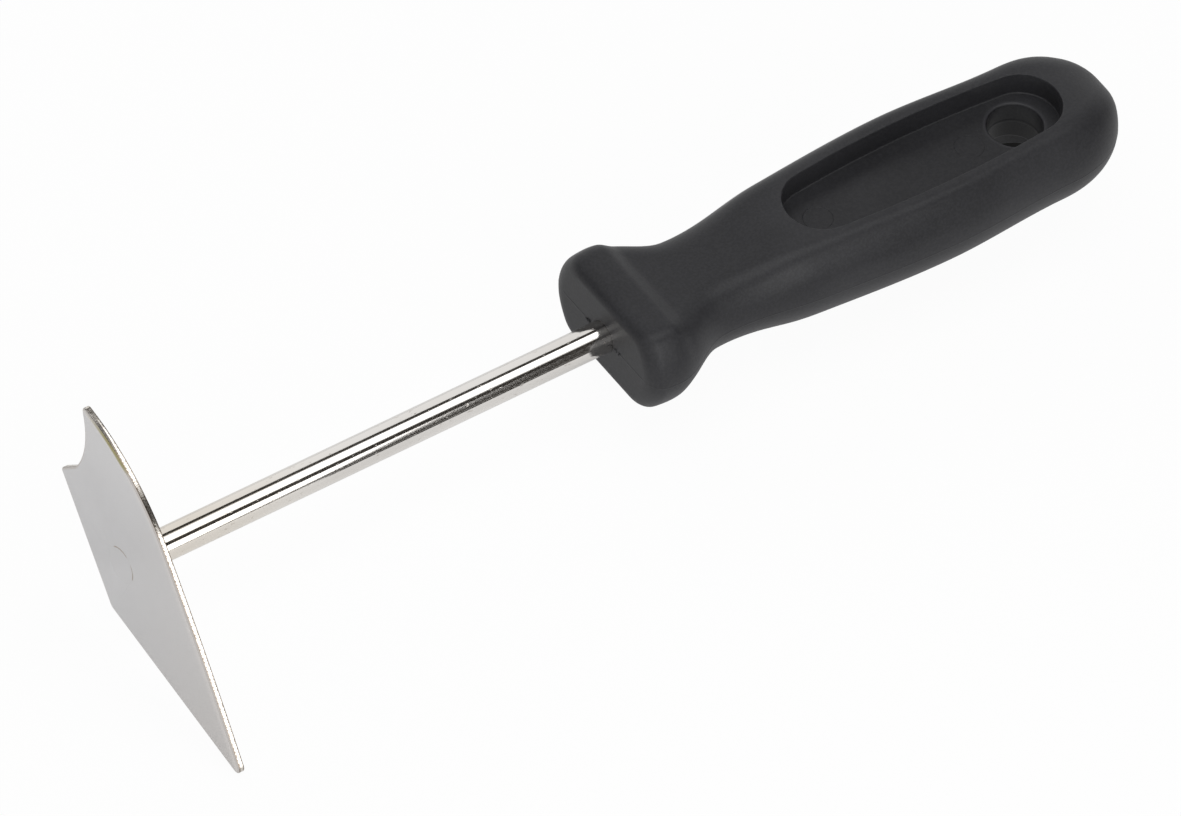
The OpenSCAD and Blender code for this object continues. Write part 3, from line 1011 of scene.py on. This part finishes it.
def blade_paint():
    p = Paint("blade_nickel")
    spot = p.here()
    _, y, z = p.parts(spot)
    from_crown = inside_crown(p, y, z)
    # the band along the back and the crown: painted brighter as a painted reflection, and a little
    # smoother
    by_crown = from_crown.over(ROLL_TO, ROLL_FULL) * y.over(-0.0140, -0.0115)
    roll_sheen = p.maths("MAXIMUM", inside_back(y, z).over(ROLL_TO, ROLL_FULL), by_crown)
    olive = from_crown.over(0.0010, 0.0004) * z.over(0.0242, 0.0256)
    olive = olive * z.over(0.0290, 0.0275) * y.over(-0.002, 0.001)
    near_peak = z.over(0.0250, 0.0284)

    # edge_u runs along the edge in metres, and edge_v through the plate from 0 to 1
    edge_u, edge_v, _ = p.parts(p.node("ShaderNodeUVMap", {"uv_map": "edge_map"}))
    sheared = edge_v.over(0.19, 0.26)
    # two dark lines along the edge, and near the peak the first widens into a painted dark
    # reflection
    line = edge_v.over(0.12, 0.17) - (edge_v - near_peak * 0.26).over(0.29, 0.34)
    line = (line + edge_v.over(0.79, 0.84)) * z.over(0.0291, 0.0284)
    upright = p.node("ShaderNodeCombineXYZ", {}, edge_u * 3400.0, edge_v * 2.2, 0.0)
    ticks = p.noise(upright, 1.0, 2.0, 0.6)
    by_border = 1 - edge_v.over(0.40, 0.55) + edge_v.over(0.68, 0.80)
    dark_tick = ticks.over(0.50, 0.55) * sheared * (0.35 + 0.65 * by_border)

    cloud = p.noise(spot, 75.0, 4.0, 0.6)
    pale = cloud.over(0.3, 0.7)
    broad = p.noise(spot, 24.0, 1.0, 0.4).over(0.35, 0.65)
    fine = p.noise(spot, 2400.0, 2.0, 0.6)
    marks = p.noise(spot, 700.0, 2.0, 0.5).over(0.74, 0.78)

    cool, warm = p.mix(pale, COOL, PALE_COOL), p.mix(pale, WARM, PALE_WARM)
    colour = p.mix(y.over(0.004, -0.03), cool, warm)
    for mask, over_it in (
        (broad * 0.5, BROAD_BRIGHT),
        (z.over(0.008, 0.026) * 0.5, TOP_BRIGHT),
        (roll_sheen * 0.75, ROLL_PAINTED_SHEEN),
        (marks * 0.25, MARK_BROWN),
        (stake_stain(p, spot, y, z) * 0.8, STAIN_BROWN),
        (edge_v.over(-0.01, 0.01), EDGE_STEEL),
        (olive * 0.85, OLIVE),
        (sheared, SHEARED_STEEL),
        (dark_tick * 0.8, TICK_DARK),
        (line * (0.72 + 0.18 * near_peak), p.mix(near_peak, LINE_BROWN, PEAK_REFLECTION_GREY)),
    ):
        colour = p.mix(mask, colour, over_it)
    p.set(
        base_color=colour,
        metallic=1.0,
        roughness=0.33 + 0.06 * cloud + 0.04 * fine - sheared * 0.14 - roll_sheen * 0.06,
        normal=p.bump(fine * (1 - sheared) * 0.5 + ticks * sheared * 1.5, SATIN_DEPTH),
    )
    return p.material


blade_nickel = blade_paint()
print("made", blade_nickel.name)

# %% [markdown]
# ## Putting the shaft together
# The three turned stretches and the pressed block are joined into one piece. Its turned surfaces
# are shaded smooth, and its shoulders stay sharp.

# %% The shaft
BAR_SIDES, BAR_CHAMFER = 128, 0.12
stretches = [
    (0.0, PLATE_T, STAKE_R, SPIGOT_R, 0.0),
    (PLATE_T, HANDLE_X + WING_FROM, SHAFT_R, SHAFT_R, BAR_CHAMFER),
    (HANDLE_X + WING_TO, HANDLE_X + TANG_LEN, SHAFT_R, SHAFT_R, BAR_CHAMFER),
]
turned = []
for i, sizes in enumerate(stretches):
    values = {"Sides": BAR_SIDES, "Material": shaft_nickel}
    for key, size in zip(("From", "To", "First radius", "Last radius", "Chamfer"), sizes):
        values[key] = size * MM
    turned.append(grown("turned_%d" % i, turned_bar, values))
steel = Patches()
for piece in turned:
    faces = [tuple(f.vertices) for f in piece.data.polygons]
    steel.add([v.co / MM for v in piece.data.vertices], faces)
    bpy.data.objects.remove(piece)
block = np.array([(i, j, k) for i in (0, 1) for j in (-1, 1) for k in (-1, 1)], float)
block = block * (WING_LEN, WING_W / 2, WING_T / 2) + (HANDLE_X + WING_FROM, 0, 0)
sides = [(0, 1, 3, 2), (4, 6, 7, 5), (0, 4, 5, 1), (2, 3, 7, 6), (0, 2, 6, 4), (1, 5, 7, 3)]
steel.add(block, sides)
shaft = steel.build("shaft_steel", join=0.0002)
flat_map = shaft.data.uv_layers.new(name="edge_map")
for entry in flat_map.data:
    entry.uv = (0.0, -1.0)

# %% [markdown]
# ## Flash along the parting line
# Where the mould halves met, a little plastic crept between them. It shows as tiny crumbs along
# the side of the handle and as ragged ones beside the shaft. They repeat at random along a path,
# which is what Geometry Nodes are for: points on a curve, a random few of them kept, and a small
# crumb with a random size on each.

# %% Node tree for crumbs on a path
def crumb_tree():
    tree, given, result = tree_with("flash_crumbs", [
        ("Path", "Geometry", None), ("Spacing", "Float", 0.001), ("Share kept", "Float", 0.3),
        ("Smallest", "Float", 0.00003), ("Largest", "Float", 0.00009), ("Scatter", "Float", 0.0001),
        ("Seed", "Int", 1), ("Material", "Material", None),
    ])
    add, link = tree.nodes.new, tree.links.new
    path = add("GeometryNodeMeshToCurve")
    link(given.outputs["Path"], path.inputs[0])
    points = add("GeometryNodeCurveToPoints")
    points.mode = "LENGTH"
    link(path.outputs[0], points.inputs["Curve"])
    link(given.outputs["Spacing"], points.inputs["Length"])
    dropped = add("FunctionNodeRandomValue")
    dropped.data_type = "BOOLEAN"
    link(given.outputs["Share kept"], [s for s in dropped.inputs if s.name == "Probability"][0])
    link(given.outputs["Seed"], [s for s in dropped.inputs if s.name == "Seed"][0])
    keep_out = [s for s in dropped.outputs if s.type == "BOOLEAN"][0]
    apart = add("GeometryNodeSeparateGeometry")
    apart.domain = "POINT"
    link(points.outputs[0], apart.inputs["Geometry"])
    link(keep_out, apart.inputs["Selection"])
    shift = add("FunctionNodeRandomValue")
    shift.data_type = "FLOAT_VECTOR"
    low, high = [s for s in shift.inputs if s.type == "VECTOR"][:2]
    low.default_value, high.default_value = (-1, -1, -1), (1, 1, 1)
    wide = add("ShaderNodeVectorMath")
    wide.operation = "SCALE"
    link([s for s in shift.outputs if s.type == "VECTOR"][0], wide.inputs[0])
    link(given.outputs["Scatter"], wide.inputs["Scale"])
    moved = add("GeometryNodeSetPosition")
    link(apart.outputs[0], moved.inputs["Geometry"])
    link(wide.outputs[0], moved.inputs["Offset"])
    crumb = add("GeometryNodeMeshIcoSphere")
    crumb.inputs["Radius"].default_value = 1.0
    crumb.inputs["Subdivisions"].default_value = 2
    size = add("FunctionNodeRandomValue")
    size.data_type = "FLOAT_VECTOR"
    low, high = [s for s in size.inputs if s.type == "VECTOR"][:2]
    for name, socket in (("Smallest", low), ("Largest", high)):
        triple = add("ShaderNodeCombineXYZ")
        for i in range(3):
            link(given.outputs[name], triple.inputs[i])
        link(triple.outputs[0], socket)
    place = add("GeometryNodeInstanceOnPoints")
    link(moved.outputs[0], place.inputs["Points"])
    link(crumb.outputs[0], place.inputs["Instance"])
    link([s for s in size.outputs if s.type == "VECTOR"][0], place.inputs["Scale"])
    send_out(tree, place.outputs[0], given, result)
    return tree


flash_crumbs = crumb_tree()


def path_mesh(name, points):
    """A path of straight edges through points that are given in mm."""
    mesh = bpy.data.meshes.new(name)
    edges = [(i, i + 1) for i in range(len(points) - 1)]
    mesh.from_pydata([Vector(p) * MM for p in points], edges, [])
    return mesh


# %% Crumbs on the two sides and by the shaft
SIDE_CRUMBS = {
    "Spacing": 0.0011, "Share kept": 0.22,
    "Smallest": 0.00003, "Largest": 0.00008, "Scatter": 0.00003,
}
FRONT_CRUMBS = {
    "Spacing": 0.00018, "Share kept": 0.7,
    "Smallest": 0.00007, "Largest": 0.00034, "Scatter": 0.00030,
}
CRUMB_FACES = 80
side_spots, front_spots = np.arange(2.0, 112.0, 1.0), np.arange(SHAFT_R + 0.25, SHAFT_R + 2.2, 0.2)


def crumbs_on(name, way, sizes, seed):
    values = dict(sizes, Seed=seed, Material=handle_plastic)
    return grown("%s_%d" % (name, seed), flash_crumbs, values, path_mesh("way", way))


crumbs = []
for side, seed in ((1, 3), (-1, 8)):
    way = [(HANDLE_X + u, side * (quarter(u)[0, 0] - 0.05), 0.0) for u in side_spots]
    crumbs.append(crumbs_on("flash_side", way, SIDE_CRUMBS, seed))
for side, seed in ((1, 5), (-1, 12)):
    way = [(HANDLE_X - 0.02, side * y, 0.0) for y in front_spots]
    crumbs.append(crumbs_on("flash_front", way, FRONT_CRUMBS, seed))
print("crumbs:", [len(c.data.polygons) // CRUMB_FACES for c in crumbs])

# %% [markdown]
# ## Which piece stands for which
# Every piece rides on the body that it belongs to. The tool has no moving part, so there is one
# body, called root. Each finer piece hides the plain node that it was built over. The staked end
# of the shaft lies in the blade's face and was finished with it, so those faces of the shaft get
# the blade's nickel.

# %% Ride, replace and finish
STAKE_DEPTH = 0.1 * MM
for piece, node, paint in ((grip, "handle", handle_plastic), (blade, "blade", blade_nickel),
                           (shaft, "shaft", shaft_nickel)):
    piece.data.materials.clear()
    piece.data.materials.append(paint)
    if piece is shaft:
        piece.data.materials.append(blade_nickel)
        for face in piece.data.polygons:
            at_front = face.center.x < STAKE_DEPTH and face.normal.x < -0.9
            face.material_index = int(at_front)
    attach(piece, "root")
    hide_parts(node)
for crumb in crumbs:
    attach(crumb, "root")
shaft.data.set_sharp_from_angle(angle=math.radians(35))
print("pieces:", [p.name for p in (grip, blade, shaft)])

# %% [markdown]
# ## Floor, lamps and dark flags
# The tool lies in a white studio. A mirror like the shaft shows all of it, so the stripes along
# the bar are the reflections of a long lamp overhead, a lamp at the near side, and black flags
# beside them. Photographers set such flags up on purpose, to draw a bright round bar with dark
# lines. The camera doesn't see the flags themselves. A third lamp fills the far side with light,
# and mirrors don't show it. Two of the flags also keep light away, one from the butt and one from
# the front. The white floor has a soft painted shadow under the grip and a dark painted shadow
# spot, which the camera sees only through the hanging hole, so that the hole looks deep.

# %% Which rays see a colour
def seen_directly(nodes, share, in_mirrors=1.0):
    """share for the camera's rays, a part of it for mirrors and glass, and 0 for lighting."""
    ray = nodes.node("ShaderNodeLightPath", {}, out=None)
    total = ray["Is Camera Ray"]
    for name in ("Is Glossy Ray", "Is Transmission Ray"):
        total = nodes.maths("MAXIMUM", total, ray[name] * in_mirrors)
    return total * share


# %% White floor
FLOOR_GAP, FLOOR_HALF = 0.4 * MM, 8
FLOOR_WHITE, FLOOR_SHADOW = (0.86, 0.86, 0.86), (0.02, 0.02, 0.02)
FLOOR_SHARE, FLOOR_IN_MIRRORS = 0.95, 0.42
# the soft painted shadow under the grip, and the dark painted shadow spot seen through the hanging
# hole
SHADE_FROM, SHADE_TO, SHADE_Y, SHADE_R, SHADE_SHARE = 0.125, 0.213, 0.014, 0.0125, 0.35
SPOT_X, SPOT_Y, SPOT_R, SPOT_FULL_R = 0.2140, 0.0145, 0.0120, 0.0045

floor_mesh = bpy.data.meshes.new("floor")
low_z = cad_low.z - FLOOR_GAP
corners = [(i * FLOOR_HALF, j * FLOOR_HALF, low_z) for i, j in ((-1, -1), (1, -1), (1, 1), (-1, 1))]
floor_mesh.from_pydata(corners, [], [(0, 1, 2, 3)])
floor = bpy.data.objects.new("floor", floor_mesh)
bpy.context.scene.collection.objects.link(floor)
floor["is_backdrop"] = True
ground = Paint("floor")
x, y, _ = ground.parts(ground.here())
along_x = x - ground.node("ShaderNodeClamp", {}, x, SHADE_FROM, SHADE_TO)
shade = ground.distance(along_x, y - SHADE_Y).over(SHADE_R, 0.0)
shadow_spot = ground.distance(x - SPOT_X, y - SPOT_Y).over(SPOT_R, SPOT_FULL_R)
# the painted shadow: the floor's colour darkens and its white glow fades
under = ground.maths("MAXIMUM", shade * SHADE_SHARE, shadow_spot)
ground.set(
    base_color=ground.mix(under, FLOOR_WHITE, FLOOR_SHADOW), roughness=0.9, specular_ior_level=0.0
)
as_white = seen_directly(ground, FLOOR_SHARE, FLOOR_IN_MIRRORS) * (1 - under)
lit, white = Wire(ground, ground.shader.outputs[0]), ground.node("ShaderNodeEmission", {})
both = ground.node("ShaderNodeMixShader", {}, as_white, lit, white)
ground.feed(ground.tree.nodes["Material Output"].inputs[0], both)
floor_mesh.materials.append(ground.material)
print("floor at", round(low_z / MM, 2), "mm")

# %% White air all round
AIR_LIGHT = 0.55
world = bpy.data.worlds.new("studio")
bpy.context.scene.world = world
world.use_nodes = True
air = Nodes(world.node_tree)
background = world.node_tree.nodes["Background"]
air.feed(background.inputs["Color"], (1, 1, 1))
air.feed(background.inputs["Strength"], AIR_LIGHT + (1 - AIR_LIGHT) * seen_directly(air, 1.0))
bpy.context.scene.view_settings.view_transform = "Standard"
print("air gives", AIR_LIGHT, "of its full light")


# %% Lamps and flags
def around(angle, distance):
    """A place beside the shaft: angle in degrees from straight up towards the near side."""
    a = math.radians(angle)
    return Vector((0, -math.sin(a), math.cos(a))) * distance


def lamp(name, angle, distance, from_x, to_x, spread, radiance, mirrored=True):
    """A rectangular lamp that faces the shaft, from_x to to_x long and spread degrees wide."""
    width = 2 * distance * math.tan(math.radians(spread) / 2)
    data = bpy.data.lights.new(name, "AREA")
    data.shape = "RECTANGLE"
    data.size, data.size_y = to_x - from_x, width
    data.energy = radiance * math.pi * data.size * data.size_y
    thing = bpy.data.objects.new(name, data)
    bpy.context.scene.collection.objects.link(thing)
    thing.visible_glossy = mirrored
    out = around(angle, 1).normalized()
    x_axis = Vector((1, 0, 0))
    turned_to = Matrix((x_axis, out.cross(x_axis), out)).transposed().to_4x4()
    place = around(angle, distance) + x_axis * ((from_x + to_x) / 2)
    thing.matrix_world = Matrix.Translation(place) @ turned_to


FLAG_POINTS, FLAG_BLACK = 7, (0.070, 0.064, 0.058)


def flag(name, rows, shades=False):
    """A black card that mirrors see, and that keeps light away too if it shades.

    Each row across the card is given by its two angles, its distance and its x.
    """
    points = [
        around(angle, distance) + Vector((x, 0, 0))
        for low, high, distance, x in rows
        for angle in np.linspace(low, high, FLAG_POINTS)
    ]
    starts = [i * FLAG_POINTS + j for i in range(len(rows) - 1) for j in range(FLAG_POINTS - 1)]
    quads = [(i, i + 1, i + FLAG_POINTS + 1, i + FLAG_POINTS) for i in starts]
    mesh = bpy.data.meshes.new(name)
    mesh.from_pydata(points, [], quads)
    thing = bpy.data.objects.new(name, mesh)
    bpy.context.scene.collection.objects.link(thing)
    black = Paint(name)
    black.set(base_color=FLAG_BLACK, specular_ior_level=0.0)
    mesh.materials.append(black.material)
    thing.visible_camera = False
    thing.visible_shadow = shades
    thing.visible_diffuse = shades
    thing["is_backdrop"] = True


# %% Set up the studio
# name, angle, distance, from x, to x, spread, radiance
lamp("lamp_overhead", 8.0, 0.60, -0.25, 0.55, 34, 1.35)
lamp("lamp_near", 68.0, 0.60, -0.25, 0.42, 34, 1.8)
lamp("lamp_fill", -62.0, 0.90, -0.3, 0.6, 30, 1.1, mirrored=False)

flag("flag_far", [
    (-35.5, -16, 0.58, -0.3), (-35.5, -16, 0.58, 0.29), (-28.7, -10, 0.58, 0.365),
    (-28.7, -10, 0.58, 1),
])
flag("flag_middle", [
    (28.5, 49, 0.58, -0.3), (28.5, 49, 0.58, 0.29), (29, 53, 0.58, 0.325), (32.5, 55, 0.58, 0.365),
    (32.5, 55, 0.58, 1),
])
flag("flag_near", [
    (86, 88, 0.55, 0.25), (75, 88, 0.55, 0.290), (63, 88, 0.55, 0.307), (50, 88, 0.55, 0.319),
    (50, 88, 0.55, 1),
])
flag("flag_low", [(88, 96.2, 0.10, 0.088), (88, 96.2, 0.10, 0.6)])
flag("flag_butt", [(-35, 88, 0.02, 0.46), (-35, 88, 0.50, 0.46)], shades=True)
flag("flag_front", [(-85, -12, 0.50, -0.9), (-85, -12, 0.50, -0.18)], shades=True)
print("lamps 3, flags 6")

# %% [markdown]
# ## Last measures
# The finished pieces must stay inside the model's own box. Both boxes are written down to be
# compared.

# %% Write both boxes and finish
low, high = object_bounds()
gaps = [round((a - b) / MM, 3) for a, b in zip((*low, *high), (*cad_low, *cad_high))]
print("visual minus CAD, mm:", gaps)
